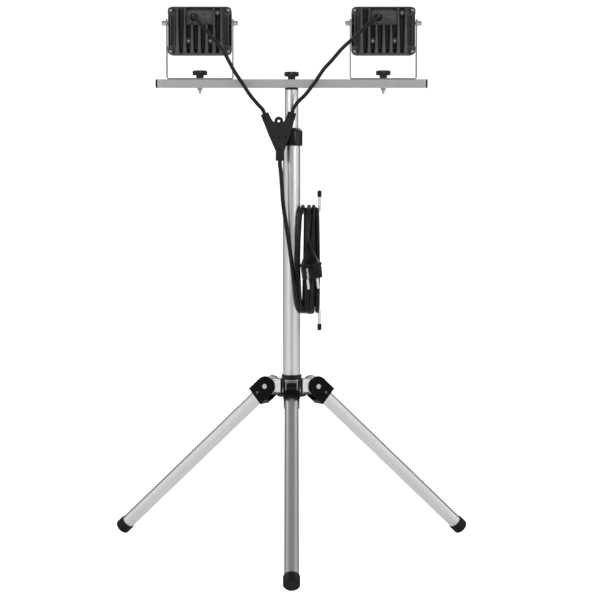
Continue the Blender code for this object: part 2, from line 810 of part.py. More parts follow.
mast_axis = anchor("mast_axis", (0, MAST_Y, 0))
build_hub(mast_axis)
for leg_name, leg_azimuth in LEG_AZIMUTHS.items():
    build_leg(leg_name, leg_azimuth, mast_axis)
build_mast(mast_axis)
build_crossbar(mast_axis)
build_knobs(mast_axis)
for lamp_side, lamp_sign in LEFT_RIGHT:
    build_lamp_bracket(lamp_side, lamp_sign, mast_axis)
    build_lamp(lamp_side, lamp_sign, mast_axis)
build_hooks(mast_axis)
build_hank(mast_axis)
build_plug(mast_axis)
build_splitter(mast_axis)
build_leads(mast_axis)
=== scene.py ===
"""Looks for the twin LED work light: materials, leads, detailed pieces, studio light and camera.

Lengths are in millimetres about the mast axis: x across, y the way the lamps shine, z up. The
matrix ROW turns them into the frame's metres. The detailed pieces ride on the CAD bodies.
"""

import math

import bmesh
import bpy
from mathutils import Matrix, Vector


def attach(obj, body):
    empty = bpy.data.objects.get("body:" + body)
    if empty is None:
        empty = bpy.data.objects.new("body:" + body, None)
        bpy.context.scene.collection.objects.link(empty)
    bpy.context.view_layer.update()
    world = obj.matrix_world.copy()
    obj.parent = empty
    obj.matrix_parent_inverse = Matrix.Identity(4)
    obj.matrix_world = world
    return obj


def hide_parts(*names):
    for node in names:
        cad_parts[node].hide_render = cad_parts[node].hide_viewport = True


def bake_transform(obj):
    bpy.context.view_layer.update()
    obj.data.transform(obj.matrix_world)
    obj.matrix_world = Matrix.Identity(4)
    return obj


MM = 0.001
MAST_Y = 91.25
ROW = Matrix.Scale(MM, 4) @ Matrix.Translation((0, MAST_Y, 0))
LEFT_RIGHT = (("left", -1), ("right", 1))
LEG_AZIMUTHS = {"front": -90, "left": 150, "right": 30}
LEG_SLOPE = 41.4
PIVOT_R, PIVOT_Z = 47.5, 297.0

# Camera, in metres
CAMERA_PLACE = (0.0, -3.459, 0.6525)
CAMERA_PITCH = 3.195  # degrees below the horizontal
CAMERA_LENS = 118.5
CAMERA_SHIFT_X = 0.014

# Leads
LAMP_LEAD_D, TRUNK_D = 6.8, 7.5
LAMP_LEAD_SPLIT = 125.0  # length from the gland where each lamp's lead is split in two
TRUNK_SPLIT_Z = 640.0
ROD_LOW_Z, ROD_HIGH_Z = 440.0, 610.9  # the hooks' rods, which the hank is wound round
ROD_R = 2.4
PLUG_FACE = (37.0, -40.5, 495.0)
PLUG_TILT, PLUG_TURN = 6.5, -24.0
RELIEF_END, RELIEF_LEAD_IN = 65.8, 78.0  # up the plug: where its relief ends, and a point above it
ROUTE_STEP = 5.0

# Lamps
LAMP_X, PIVOT_HEIGHT, LAMP_DROP = 164.0, 949.5, 14.0
LAMP_W, LAMP_H, LAMP_CORNER = 114.0, 86.0, 9.0
LAMP_OPENING = (96, 68, 4)  # width, height and corner of the hole through the casting's wall
POCKET_ZS = (-28, -26, 28, 30)  # where the pocket in each side begins and ends
BACK_Y = -8.0  # the flat of the lamp's back, which the fins stand on
FIN_TIP = 12.0  # how far the fins' tips stand off it
FIN_PITCH = 13.0
FIN_TOPS = {0: 14.0, 1: 14.0, 2: 41.4, 3: 41.4}  # by how many fins out from the middle
BOSSES = ((32.5, 31.4), (-19.5, -18.3), (19.5, -18.3))
CORNERS = [(x, z) for x in (-51.3, 51.3) for z in (-36.5, 36.5)]

# Bar, knobs, collar and splitter
BAR_TOP = 849.5
BRACKET_TOP = 851.8
CENTRE_BOLT_R, CENTRE_BOLT_END = 3.7, 815.0
BRACKET_BOLT_R, BRACKET_BOLT_END = 2.5, 823.7
COLLAR_Z = (731.0, 763.0)
SPLITTER_FRONT = -37.0
# Where the splitter's dimples are; they are drawn as dark discs of painted shade
SPLITTER_DIMPLES = ((-22.7, 765.2), (-34.2, 744.6), (-22.3, 744.6), (-10.2, 744.8), (-21.4, 724.8))
# Middle of each mouth, the way its arm runs in degrees, and its width
SPLITTER_RIBS = (
    ((-48.1, 787.2), -68.4, 13.3),
    ((1.0, 789.3), -105.1, 14.2),
    ((-20.8, 704.3), 90, 13.9),
)
FORK_HALF_WIDTH = 14.2

LEFT_LEAD = [
    (-174, -26.8, 958.2),
    (-174, -33.8, 958.2),
    (-172, -42, 956.2),
    (-167, -47.5, 951),
    (-156, -50, 938),
    (-140, -48, 921),
    (-121.5, -44, 899),
    (-109.5, -41, 877),
    (-99.5, -38, 859),
    (-87.5, -35.5, 841.5),
    (-73.5, -33, 820),
    (-59.5, -31, 803.5),
    (-50.8, -30, 794.2),
    (-48.2, -30, 787.7),
]
RIGHT_LEAD = [
    (154, -26.8, 958.2),
    (154, -33.8, 958.2),
    (152, -42, 956.2),
    (148, -47, 953),
    (138, -50, 945.5),
    (124, -49, 933.5),
    (105, -45, 916),
    (88.5, -42, 901),
    (72, -39, 882),
    (56.5, -36.5, 865),
    (41.5, -34, 843),
    (24.5, -31.5, 821),
    (11.5, -30.5, 808.5),
    (2.9, -30, 796.5),
    (1.1, -30, 789.8),
]
TRUNK = [
    (-20.8, -30, 704),
    (-20.8, -30, 697),
    (-19.2, -29.5, 684),
    (-17.2, -28, 657),
    (-15, -26, 626.5),
    (-9, -24, 585.5),
    (-3, -23, 544.5),
    (2.3, -22, 503.5),
    (6.5, -21, 471),
    (10, -18.5, 452),
    (13.5, -12, 438),
]
# Each turn of the hank: x and half-width where it passes under the lower rod, then over the upper.
HANK_TURNS = (
    ((17.0, 13.0), (20.4, 16.5)),
    ((20.6, 13.5), (25.8, 11.5)),
    ((24.6, 14.0), (31.6, 11.5)),
    ((30.0, 15.5), (37.6, 11.5)),
    ((37.6, 15.0), (44.6, 12.0)),
    ((46.0, 12.5), (39.6, 16.5)),
    ((33.5, 17.0), (31.2, 16.5)),
)
# How far the first turn's two strands bow, in x and y, to stand apart from the other turns
FIRST_REAR_BOW = (-7.5, 5.0)
FIRST_FRONT_BOW = (-8.6, -2.4)
# A turn wider than this lies further off the rod, by this much for each mm of half-width
SNUG_LOW, STACK_LOW = 13, 0.45
SNUG_HIGH, STACK_HIGH = 11.5, 1.05

CREASE = math.radians(38)  # steeper edges stay sharp
LEGS = ("front", "left", "right")
BOLTS = [f"pivot_bolt_{lamp}_{end}" for lamp in ("left", "right") for end in ("left", "right")]
# Look, edge rounding and names of the CAD nodes that stay visible
DRESSED = (
    ("satin_aluminium", 0.3, ("upper_tube", "lower_tube")),
    ("bar_aluminium", 0.7, ("crossbar",)),
    ("leg_front", 0, ("leg_tube_front",)),
    ("leg_left", 0, ("leg_tube_left",)),
    ("leg_right", 0, ("leg_tube_right",)),
    ("gloss_black", 0.5, ("hub_body", "clamp_collet", "mast_top_plug")),
    ("black_plastic", 0.5, ("bar_cap_left", "bar_cap_right", "slide_bush")),
    ("black_plastic", 0.6, [f"leg_fork_{leg}" for leg in LEGS]),
    ("black_rubber", 0.8, [f"foot_{leg}" for leg in LEGS]),
    ("black_rubber", 0.5, ("hook_tip_upper", "hook_tip_lower")),
    ("splitter_rubber", 0.5, ("cable_splitter",)),
    ("black_rubber", 0.4, ("cable_gland_left", "cable_gland_right")),
    ("pale_steel", 0.25, [f"hinge_bracket_{leg}" for leg in LEGS]),
    ("bright_steel", 0.3, [f"hinge_pin_{leg}" for leg in LEGS]),
    ("strip_steel", 0.25, ("lamp_bracket_left", "lamp_bracket_right")),
    ("bright_steel", 0.3, ("bracket_nut_left", "bracket_nut_right", *BOLTS)),
    ("pale_steel", 0, ("hook_upper", "hook_lower", "plug_pin_left", "plug_pin_right")),
    ("grey_casting", 0.6, ("front_bezel_left", "front_bezel_right")),
    ("lamp_glass", 0, ("front_glass_left", "front_glass_right")),
    ("mirror_sheet", 0, ("reflector_left", "reflector_right")),
    ("led_board", 0.1, ("led_board_left", "led_board_right")),
)


# Softboxes in pairs, in metres and watts: a weak one that reflections see, and one that they don't
FRONT_LIGHTS = (
    ("key", (-2.3, -2.3, 1.75), ((1.3, 2.0), 17), ((1.3, 2.0), 45)),
    ("fill", (2.6, -1.9, 1.6), ((0.8, 2.0), 15), ((1.2, 2.0), 29)),
)
FRONT_AIM, REAR_AIM = (0, 0, 0.75), (0, 0, 0.6)


# Drawing helpers


def skin(rings, closed=False):
    """A solid through rings of equal size. A closed one joins its last ring to its first."""
    bm = bmesh.new()
    rows = [[bm.verts.new(point) for point in ring] for ring in rings]
    pairs = list(zip(rows, rows[1:]))
    if closed:
        pairs.append((rows[-1], rows[0]))
    else:
        bm.faces.new(rows[0])
        bm.faces.new(rows[-1])
    for row, following in pairs:
        for i, corner in enumerate(row):
            j = (i + 1) % len(row)
            bm.faces.new((corner, row[j], following[j], following[i]))
    return bm


def circle(radius, height, sides):
    angles = [2 * math.pi * i / sides for i in range(sides)]
    return [(radius * math.cos(a), radius * math.sin(a), height) for a in angles]


def turned(profile, sides=40, closed=False):
    """A body of revolution about Z from (radius, height) points."""
    return skin([circle(radius, height, sides) for radius, height in profile], closed)


def fluted(profile, count, sharpness=1.0, steps=8):
    """Like turned, with (radius, height, groove depth) points and vertical grooves all round."""
    rings = []
    for radius, height, depth in profile:
        ring = []
        for i in range(count * steps):
            angle = 2 * math.pi * i / (count * steps)
            wave = (0.5 - 0.5 * math.cos(count * angle)) ** sharpness
            r = radius - depth * (1 - wave)
            ring.append((r * math.cos(angle), r * math.sin(angle), height))
        rings.append(ring)
    return skin(rings)


def rounded(width, height, corner, level, steps=6):
    """A rounded rectangle across X and Z, at the level y."""
    points = []
    for i, (sx, sz) in enumerate(((1, 1), (-1, 1), (-1, -1), (1, -1))):
        cx, cz = sx * (width / 2 - corner), sz * (height / 2 - corner)
        for step in range(steps + 1):
            angle = math.radians(90 * (i + step / steps))
            points.append((cx + corner * math.cos(angle), level, cz + corner * math.sin(angle)))
    return points


def box(low, high):
    bm = bmesh.new()
    bmesh.ops.create_cube(bm, size=1)
    bmesh.ops.scale(bm, vec=[b - a for a, b in zip(low, high)], verts=bm.verts)
    bmesh.ops.translate(bm, vec=[(a + b) / 2 for a, b in zip(low, high)], verts=bm.verts)
    return bm


def prism_y(outline, low, high):
    """An outline in x and z drawn out along Y."""
    return skin([[(x, level, z) for x, z in outline] for level in (low, high)])


def merged(*parts):
    """Several shapes as one mesh."""
    whole = bmesh.new()
    for part in parts:
        mesh = bpy.data.meshes.new("part")
        part.to_mesh(mesh)
        part.free()
        whole.from_mesh(mesh)
        bpy.data.meshes.remove(mesh)
    return whole


def moved(bm, matrix):
    bm.transform(matrix)
    return bm


def shift(x, y, z):
    return Matrix.Translation((x, y, z))


def turn(angle, axis):
    return Matrix.Rotation(math.radians(angle), 4, axis)


def smooth_route(route, spacing):
    """Points about this far apart on a smooth curve through the route."""
    points = [Vector(point) for point in route]
    ends = [points[0] * 2 - points[1], *points, points[-1] * 2 - points[-2]]
    path = []
    for a, b, c, d in zip(ends, ends[1:], ends[2:], ends[3:]):
        steps = max(1, round((c - b).length / spacing))
        for step in range(steps):
            t = step / steps
            bend = (2 * a - 5 * b + 4 * c - d) * t * t + (3 * (b - c) + d - a) * t**3
            path.append(b + 0.5 * ((c - a) * t + bend))
    return [*path, points[-1]]


def swept(path, radius, sides=16):
    """A round section carried along a path without twist."""
    rings = []
    side = Vector((0.1, 1, 0.05))
    for i, point in enumerate(path):
        along = (path[min(i + 1, len(path) - 1)] - path[max(i - 1, 0)]).normalized()
        side = (side - along * side.dot(along)).normalized()
        up = along.cross(side)
        rings.append([point + side * x + up * y for x, y, _ in circle(radius, 0, sides)])
    return skin(rings)


def smooth_by_angle(mesh, angle):
    mesh.shade_smooth()
    mesh.set_sharp_from_angle(angle=math.radians(angle))


def round_edges(obj, width, segments=2, angle=35):
    bevel = obj.modifiers.new("edges", "BEVEL")
    bevel.width = width * MM
    bevel.segments = segments
    bevel.limit_method = "ANGLE"
    bevel.angle_limit = math.radians(angle)
    bevel.use_clamp_overlap = False
    bevel.harden_normals = True
    bevel.miter_outer = "MITER_ARC"


def to_object(name, bm):
    """A mesh drawn in millimetres about the mast axis, as an object in the frame's metres."""
    bmesh.ops.recalc_face_normals(bm, faces=bm.faces)
    bm.transform(ROW)
    mesh = bpy.data.meshes.new(name)
    bm.to_mesh(mesh)
    bm.free()
    obj = bpy.data.objects.new(name, mesh)
    bpy.context.scene.collection.objects.link(obj)
    return obj


def piece(name, bm, look, body=None, instead_of=(), edge=0.0, angle=40):
    """One visible piece: its mesh, material, edge rounding and the CAD body that it rides on."""
    obj = to_object(name, bm)
    smooth_by_angle(obj.data, angle)
    obj.data.materials.append(LOOKS[look])
    if edge:
        round_edges(obj, edge)
    if body:
        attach(obj, body)
    if instead_of:
        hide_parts(*instead_of)
    return obj


def weld_and_smooth():
    """Geometry nodes that join a CAD mesh's split corners and smooth its shallow edges."""
    group = bpy.data.node_groups.new("weld_and_smooth", "GeometryNodeTree")
    for direction in ("INPUT", "OUTPUT"):
        group.interface.new_socket("Shape", in_out=direction, socket_type="NodeSocketGeometry")
    start = node(group, "NodeGroupInput").outputs[0]
    joined = node(group, "GeometryNodeMergeByDistance", [("Geometry", start), ("Distance", 1e-5)])
    bare = node(
        group, "GeometryNodeRemoveAttribute", [(0, joined.outputs[0]), ("Name", "custom_normal")]
    )
    smooth = node(group, "GeometryNodeSetShadeSmooth", [(0, bare.outputs[0])], domain="FACE")
    angle = node(group, "GeometryNodeInputMeshEdgeAngle").outputs["Unsigned Angle"]
    steep = node(group, "FunctionNodeCompare", [(0, angle), (1, CREASE)], operation="GREATER_THAN")
    creased = node(
        group,
        "GeometryNodeSetShadeSmooth",
        [(0, smooth.outputs[0]), (1, steep.outputs[0]), (2, False)],
        domain="EDGE",
    )
    node(group, "NodeGroupOutput", [(0, creased.outputs[0])])
    return group


def dress_cad_nodes():
    """The CAD nodes that stay visible: a finished material, smooth shading and rounded edges."""
    group = weld_and_smooth()
    for look, edge, names in DRESSED:
        for name in names:
            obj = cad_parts[name]
            for slot in obj.material_slots:
                slot.material = LOOKS[look]
            weld = obj.modifiers.new("weld", "NODES")
            weld.node_group = group
            if edge:
                round_edges(obj, edge)


# Materials


def node(tree, kind, link=(), **settings):
    """Add a node. A link is a socket with its source or its value, and settings are properties."""
    made = tree.nodes.new(kind)
    for key, value in settings.items():
        setattr(made, key, value)
    for socket, source in link:
        if isinstance(source, bpy.types.NodeSocket):
            tree.links.new(source, made.inputs[socket])
        else:
            made.inputs[socket].default_value = source
    return made


def along_grain(tree, direction, stretch):
    """Object coordinates squeezed along one direction, so that a noise runs in lines along it."""
    place = node(tree, "ShaderNodeTexCoord").outputs["Object"]
    along = node(
        tree, "ShaderNodeVectorMath", [(0, place), (1, direction)], operation="DOT_PRODUCT"
    )
    cut = node(
        tree,
        "ShaderNodeMath",
        [(0, along.outputs["Value"]), (1, stretch - 1)],
        operation="MULTIPLY",
    )
    offset = node(
        tree, "ShaderNodeVectorMath", [(0, direction), ("Scale", cut.outputs[0])], operation="SCALE"
    )
    total = node(
        tree, "ShaderNodeVectorMath", [(0, place), (1, offset.outputs[0])], operation="ADD"
    )
    return total.outputs[0]


def noise(tree, scale, detail=3.0, coordinates=None):
    """A noise value. The scale is in features to the metre."""
    if coordinates is None:
        coordinates = node(tree, "ShaderNodeTexCoord").outputs["Object"]
    made = node(
        tree, "ShaderNodeTexNoise", [("Vector", coordinates), ("Scale", scale), ("Detail", detail)]
    )
    return made.outputs["Fac"]


def spread(tree, value, low, high, start=0.3, end=0.7):
    made = node(
        tree,
        "ShaderNodeMapRange",
        [(0, value), ("From Min", start), ("From Max", end), ("To Min", low), ("To Max", high)],
    )
    return made.outputs["Result"]


def mix(tree, share, first, second):
    made = node(tree, "ShaderNodeMix", [(0, share), (6, first), (7, second)], data_type="RGBA")
    return made.outputs[2]


def bump(tree, height, strength, distance, normal=None):
    link = [("Height", height), ("Strength", strength), ("Distance", distance * MM)]
    if normal is not None:
        link.append(("Normal", normal))
    return node(tree, "ShaderNodeBump", link).outputs["Normal"]


def edge_mask(tree, radius):
    """1 on sharp edges and 0 on flat parts, from how far a rounded normal leans."""
    soft = node(tree, "ShaderNodeBevel", [("Radius", radius * MM)], samples=4).outputs[0]
    true = node(tree, "ShaderNodeNewGeometry").outputs["Normal"]
    lean = node(tree, "ShaderNodeVectorMath", [(0, soft), (1, true)], operation="DOT_PRODUCT")
    return spread(tree, lean.outputs["Value"], 1.0, 0.0, 0.75, 0.97)


def shade(name, colour, roughness, metallic=0.0):
    """A new material with its node tree and its shader."""
    material = bpy.data.materials.new(name)
    material.use_nodes = True
    tree = material.node_tree
    shader = tree.nodes["Principled BSDF"]
    shader.inputs["Base Color"].default_value = (*colour, 1)
    shader.inputs["Roughness"].default_value = roughness
    shader.inputs["Metallic"].default_value = metallic
    material.diffuse_color = (*colour, 1)
    return material, tree, shader


def drawn_tube(name, direction, colour=(0.84, 0.84, 0.83), roughness=0.3):
    """Satin anodised aluminium with fine drawing lines along the tube."""
    material, tree, shader = shade(name, colour, roughness, 1.0)
    lines = noise(tree, 1500, 2.0, along_grain(tree, direction, 0.01))
    cloud = noise(tree, 9, 4.0)
    darker = (*[c * 0.94 for c in colour], 1)
    tint = mix(tree, spread(tree, cloud, 0, 1), (*colour, 1), darker)
    streaks = mix(tree, spread(tree, lines, 0, 0.5), tint, (*[c * 0.96 for c in colour], 1))
    tree.links.new(streaks, shader.inputs["Base Color"])
    fine = spread(tree, lines, roughness - 0.015, roughness + 0.02)
    rough = node(
        tree, "ShaderNodeMath", [(0, fine), (1, spread(tree, cloud, -0.02, 0.02))], operation="ADD"
    )
    tree.links.new(rough.outputs[0], shader.inputs["Roughness"])
    tree.links.new(bump(tree, lines, 0.015, 0.02), shader.inputs["Normal"])
    return material


def strip_steel(name):
    """Smooth cold-rolled strip, zinc plated, with faint rolling lines across it."""
    material, tree, shader = shade(name, (0.5, 0.5, 0.5), 0.3, 1.0)
    lines = noise(tree, 700, 2.0, along_grain(tree, (0, 1, 0), 0.05))
    tint = mix(tree, spread(tree, lines, 0, 1), (0.52, 0.52, 0.52, 1), (0.45, 0.45, 0.44, 1))
    tree.links.new(tint, shader.inputs["Base Color"])
    tree.links.new(spread(tree, noise(tree, 60, 3.0), 0.26, 0.36), shader.inputs["Roughness"])
    tree.links.new(bump(tree, lines, 0.04, 0.03), shader.inputs["Normal"])
    return material


def bright_steel(name, colour):
    """Zinc-plated steel: soft clouding, fine scratches and brighter edges."""
    material, tree, shader = shade(name, colour, 0.28, 1.0)
    cloud = noise(tree, 90, 5.0)
    fine = noise(tree, 900, 2.0)
    edges = edge_mask(tree, 0.5)
    tint = mix(tree, spread(tree, cloud, 0, 1), (*colour, 1), (*[c * 0.88 for c in colour], 1))
    bright = (*[min(1.25 * c, 0.9) for c in colour], 1)
    tree.links.new(mix(tree, edges, tint, bright), shader.inputs["Base Color"])
    tree.links.new(spread(tree, cloud, 0.22, 0.34), shader.inputs["Roughness"])
    tree.links.new(bump(tree, fine, 0.03, 0.02), shader.inputs["Normal"])
    return material


def moulded(name, level, roughness, grain_scale, grain_depth, worn, shine):
    """Moulded black plastic or rubber: a fine grain, uneven sheen, and edges rubbed paler."""
    colour = (level, level, level)
    material, tree, shader = shade(name, colour, roughness)
    grain = noise(tree, grain_scale, 3.0)
    cloud = noise(tree, 35, 4.0)
    edges = edge_mask(tree, 0.45)
    darker = (*[c * 0.75 for c in colour], 1)
    tint = mix(tree, spread(tree, cloud, 0, 1), (*colour, 1), darker)
    wear = node(
        tree, "ShaderNodeMath", [(0, edges), (1, spread(tree, cloud, 0.35, 0.8))], operation="MULTIPLY"
    )
    tree.links.new(
        mix(tree, wear.outputs[0], tint, (worn, worn, worn, 1)), shader.inputs["Base Color"]
    )
    tree.links.new(spread(tree, cloud, roughness - 0.05, roughness + 0.08), shader.inputs["Roughness"])
    tree.links.new(bump(tree, grain, 0.25, grain_depth), shader.inputs["Normal"])
    shader.inputs["Specular IOR Level"].default_value = shine
    return material


def powder_coat(name):
    """Dark grey powder coat: orange peel, thin paint on the edges, and painted shade darkening the
    hollows.
    """
    colour = (0.062, 0.062, 0.063)
    material, tree, shader = shade(name, colour, 0.42)
    peel = noise(tree, 900, 2.0)
    speck = noise(tree, 2600, 2.0)
    cloud = noise(tree, 40, 4.0)
    edges = edge_mask(tree, 0.6)
    tint = mix(tree, spread(tree, cloud, 0, 1), (*colour, 1), (0.052, 0.052, 0.053, 1))
    wear = node(
        tree, "ShaderNodeMath", [(0, edges), (1, spread(tree, cloud, 0.3, 0.75))], operation="MULTIPLY"
    )
    worn = mix(tree, wear.outputs[0], tint, (0.1, 0.1, 0.1, 1))
    # Painted shade: ambient occlusion darkens the hollows between the fins towards near black.
    open_sky = node(tree, "ShaderNodeAmbientOcclusion", [("Distance", 14 * MM)], samples=6)
    hollow_shade = spread(tree, open_sky.outputs["AO"], 1.0, 0.0, 0.35, 0.8)
    tree.links.new(mix(tree, hollow_shade, worn, (0.012, 0.012, 0.012, 1)), shader.inputs["Base Color"])
    tree.links.new(spread(tree, speck, 0.36, 0.5), shader.inputs["Roughness"])
    normal = bump(tree, peel, 0.35, 0.08)
    tree.links.new(bump(tree, speck, 0.2, 0.03, normal), shader.inputs["Normal"])
    return material


def cable_rubber(name):
    """A rubber sheath: matt, slightly dusty, with soft ripples."""
    colour = (0.0045, 0.0045, 0.0045)
    material, tree, shader = shade(name, colour, 0.32)
    ripple = noise(tree, 160, 2.0)
    grain = noise(tree, 2200, 2.0)
    dust = noise(tree, 24, 5.0)
    tree.links.new(
        mix(tree, spread(tree, dust, 0, 1, 0.45, 0.75), (*colour, 1), (0.009, 0.009, 0.0085, 1)),
        shader.inputs["Base Color"],
    )
    tree.links.new(spread(tree, dust, 0.28, 0.42), shader.inputs["Roughness"])
    normal = bump(tree, ripple, 0.2, 0.2)
    tree.links.new(bump(tree, grain, 0.2, 0.03, normal), shader.inputs["Normal"])
    shader.inputs["Specular IOR Level"].default_value = 0.28
    return material


def lamp_glass(name):
    """Clear toughened glass, with a faint unevenness in its gloss."""
    material, tree, shader = shade(name, (0.97, 0.985, 0.98), 0.03)
    shader.inputs["Transmission Weight"].default_value = 1.0
    shader.inputs["IOR"].default_value = 1.5
    tree.links.new(spread(tree, noise(tree, 25, 4.0), 0.01, 0.06), shader.inputs["Roughness"])
    return material


def mirror_sheet(name):
    """Bright pressed reflector sheet with a light hammered finish."""
    material, tree, shader = shade(name, (0.86, 0.86, 0.85), 0.14, 1.0)
    dimples = noise(tree, 260, 1.0)
    tree.links.new(spread(tree, noise(tree, 60, 3.0), 0.10, 0.2), shader.inputs["Roughness"])
    tree.links.new(bump(tree, dimples, 0.35, 0.3), shader.inputs["Normal"])
    return material


def phosphor(name):
    """The yellow silicone over the LED field."""
    material, tree, shader = shade(name, (0.86, 0.62, 0.08), 0.35)
    cells = node(
        tree,
        "ShaderNodeTexVoronoi",
        [("Vector", node(tree, "ShaderNodeTexCoord").outputs["Object"]), ("Scale", 420.0)],
    )
    share = spread(tree, cells.outputs["Distance"], 0, 1, 0.1, 0.6)
    tint = mix(tree, share, (0.88, 0.66, 0.10, 1), (0.78, 0.5, 0.05, 1))
    tree.links.new(tint, shader.inputs["Base Color"])
    tree.links.new(bump(tree, cells.outputs["Distance"], 0.3, 0.2), shader.inputs["Normal"])
    return material


def board_white(name):
    """White solder mask with a slight mottling."""
    material, tree, shader = shade(name, (0.8, 0.8, 0.78), 0.45)
    cloud = noise(tree, 220, 3.0)
    tint = mix(tree, spread(tree, cloud, 0, 1), (0.82, 0.82, 0.8, 1), (0.72, 0.73, 0.72, 1))
    tree.links.new(tint, shader.inputs["Base Color"])
    tree.links.new(spread(tree, cloud, 0.38, 0.52), shader.inputs["Roughness"])
    return material


def make_looks():
    looks = {
        "satin_aluminium": drawn_tube("satin_aluminium", (0, 0, 1)),
        "bar_aluminium": drawn_tube("bar_aluminium", (1, 0, 0), (0.70, 0.70, 0.69), 0.4),
        "bright_steel": bright_steel("bright_steel", (0.70, 0.69, 0.67)),
        "pale_steel": drawn_tube("pale_steel", (0, 0, 1), (0.86, 0.85, 0.83), 0.36),
        "strip_steel": strip_steel("strip_steel"),
        "dull_steel": bright_steel("dull_steel", (0.2, 0.2, 0.195)),
        "gloss_black": moulded("gloss_black", 0.003, 0.14, 900, 0.01, 0.008, 0.34),
        "knob_black": moulded("knob_black", 0.004, 0.28, 1200, 0.02, 0.02, 0.4),
        "black_plastic": moulded("black_plastic", 0.0035, 0.36, 1400, 0.03, 0.018, 0.08),
        "black_rubber": moulded("black_rubber", 0.006, 0.45, 1800, 0.04, 0.026, 0.2),
        "plug_rubber": moulded("plug_rubber", 0.003, 0.24, 1500, 0.02, 0.02, 0.22),
        "splitter_rubber": moulded("splitter_rubber", 0.016, 0.5, 1800, 0.04, 0.06, 0.22),
        "cable_rubber": cable_rubber("cable_rubber"),
        "grey_casting": powder_coat("grey_casting"),
        "lamp_glass": lamp_glass("lamp_glass"),
        "mirror_sheet": mirror_sheet("mirror_sheet"),
        "led_board": board_white("led_board"),
        "phosphor": phosphor("phosphor"),
    }
    for name, azimuth in LEG_AZIMUTHS.items():
        slope, angle = math.radians(LEG_SLOPE), math.radians(azimuth)
        level = math.cos(slope)
        direction = (level * math.cos(angle), level * math.sin(angle), -math.sin(slope))
        looks[f"leg_{name}"] = drawn_tube(f"leg_{name}", direction)
    return looks


# Studio


def add_camera():
    camera = bpy.data.objects.new("camera", bpy.data.cameras.new("camera"))
    bpy.context.scene.collection.objects.link(camera)
    camera.location = CAMERA_PLACE
    camera.rotation_euler = (math.radians(90 - CAMERA_PITCH), 0, 0)
    camera.data.lens = CAMERA_LENS
    camera.data.sensor_width = 36
    camera.data.shift_x = CAMERA_SHIFT_X
    camera.data.clip_end = 100
    bpy.context.scene.camera = camera


def softbox(name, place, target, size, power, mirrored=True):
    """A rectangular area light aimed at a point, seen in reflections if mirrored. In metres."""
    light = bpy.data.lights.new(name, "AREA")
    light.shape = "RECTANGLE"
    light.size, light.size_y = size
    light.energy = power
    obj = bpy.data.objects.new(name, light)
    bpy.context.scene.collection.objects.link(obj)
    obj.location = place
    aim = Vector(target) - Vector(place)
    obj.rotation_euler = aim.to_track_quat("-Z", "Z").to_euler()
    obj.visible_glossy = mirrored


def add_floor():
    """A large pale floor, a little bright of its own so that it meets the white surroundings."""
    bm = bmesh.new()
    bmesh.ops.create_circle(bm, cap_ends=True, segments=96, radius=30)
    mesh = bpy.data.meshes.new("floor")
    bm.to_mesh(mesh)
    bm.free()
    floor = bpy.data.objects.new("floor", mesh)
    bpy.context.scene.collection.objects.link(floor)
    floor.location.z = -0.0002
    material, tree, shader = shade("floor", (0.86, 0.86, 0.86), 0.8)
    tree.links.new(
        mix(tree, spread(tree, noise(tree, 3, 3.0), 0, 1), (0.87, 0.87, 0.87, 1), (0.85, 0.85, 0.85, 1)),
        shader.inputs["Base Color"],
    )
    seen = node(tree, "ShaderNodeLightPath").outputs["Is Camera Ray"]
    tree.links.new(spread(tree, seen, 0.0, 0.85, 0, 1), shader.inputs["Emission Strength"])
    shader.inputs["Emission Color"].default_value = (1, 1, 1, 1)
    mesh.materials.append(material)


def add_surroundings():
    """White behind the object. Reflections see bright sides, and a dimmer front and back."""
    world = bpy.data.worlds.new("studio")
    bpy.context.scene.world = world
    world.use_nodes = True
    tree = world.node_tree
    background = tree.nodes["Background"]
    direction = node(tree, "ShaderNodeTexCoord").outputs["Generated"]
    axes = node(tree, "ShaderNodeSeparateXYZ", [(0, direction)])
    front = spread(tree, axes.outputs["Y"], 0.3, 0.9, -0.99, -0.86)
    back = spread(tree, axes.outputs["Y"], 1.0, 0.12, 0.1, 0.65)
    around = node(tree, "ShaderNodeMath", [(0, front), (1, back)], operation="MULTIPLY")
    height = spread(tree, axes.outputs["Z"], 0.0, 1.0, 0.35, 0.8)
    total = node(tree, "ShaderNodeMix", [(0, height), (2, around.outputs[0]), (3, 0.23)])
    seen = node(tree, "ShaderNodeLightPath").outputs["Is Camera Ray"]
    level = node(tree, "ShaderNodeMix", [(0, seen), (2, total.outputs[0]), (3, 1.15)])
    tree.links.new(level.outputs[0], background.inputs["Strength"])
    background.inputs["Color"].default_value = (1, 1, 1, 1)


def add_studio():
    bpy.context.scene.view_settings.view_transform = "Standard"
    add_surroundings()
    add_floor()
    for name, place, seen, unseen in FRONT_LIGHTS:
        softbox(name, place, FRONT_AIM, *seen)
        softbox(f"{name}_bounce", place, FRONT_AIM, *unseen, mirrored=False)
    for side, sign in LEFT_RIGHT:
        softbox(f"rear_{side}", (1.8 * sign, 2.6, 2.8), REAR_AIM, (2.4, 2.4), 22)


# Leads


def lead(name, path, diameter, instead_of=()):
    return piece(name, swept(path, diameter / 2), "cable_rubber", instead_of=instead_of, angle=60)


def split_at_length(path, length):
    """The index of the first point at least this far along a path."""
    run = 0.0
    for i, (a, b) in enumerate(zip(path, path[1:])):
        run += (b - a).length
        if run >= length:
            return i + 1
    return len(path) - 1


def add_lamp_leads():
    """Each lamp's lead in two pieces, split at a length from the gland."""
    for (side, _), route in zip(LEFT_RIGHT, (LEFT_LEAD, RIGHT_LEAD)):
        path = smooth_route(route, ROUTE_STEP)
        cut = split_at_length(path, LAMP_LEAD_SPLIT)
        near, far = path[: cut + 1], path[cut:]
        upper = lead(f"lamp_lead_{side}_tail", near, LAMP_LEAD_D, [f"lamp_lead_{side}"])
        lower = lead(f"lamp_lead_{side}_run", far, LAMP_LEAD_D)
        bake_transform(upper)
        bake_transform(lower)


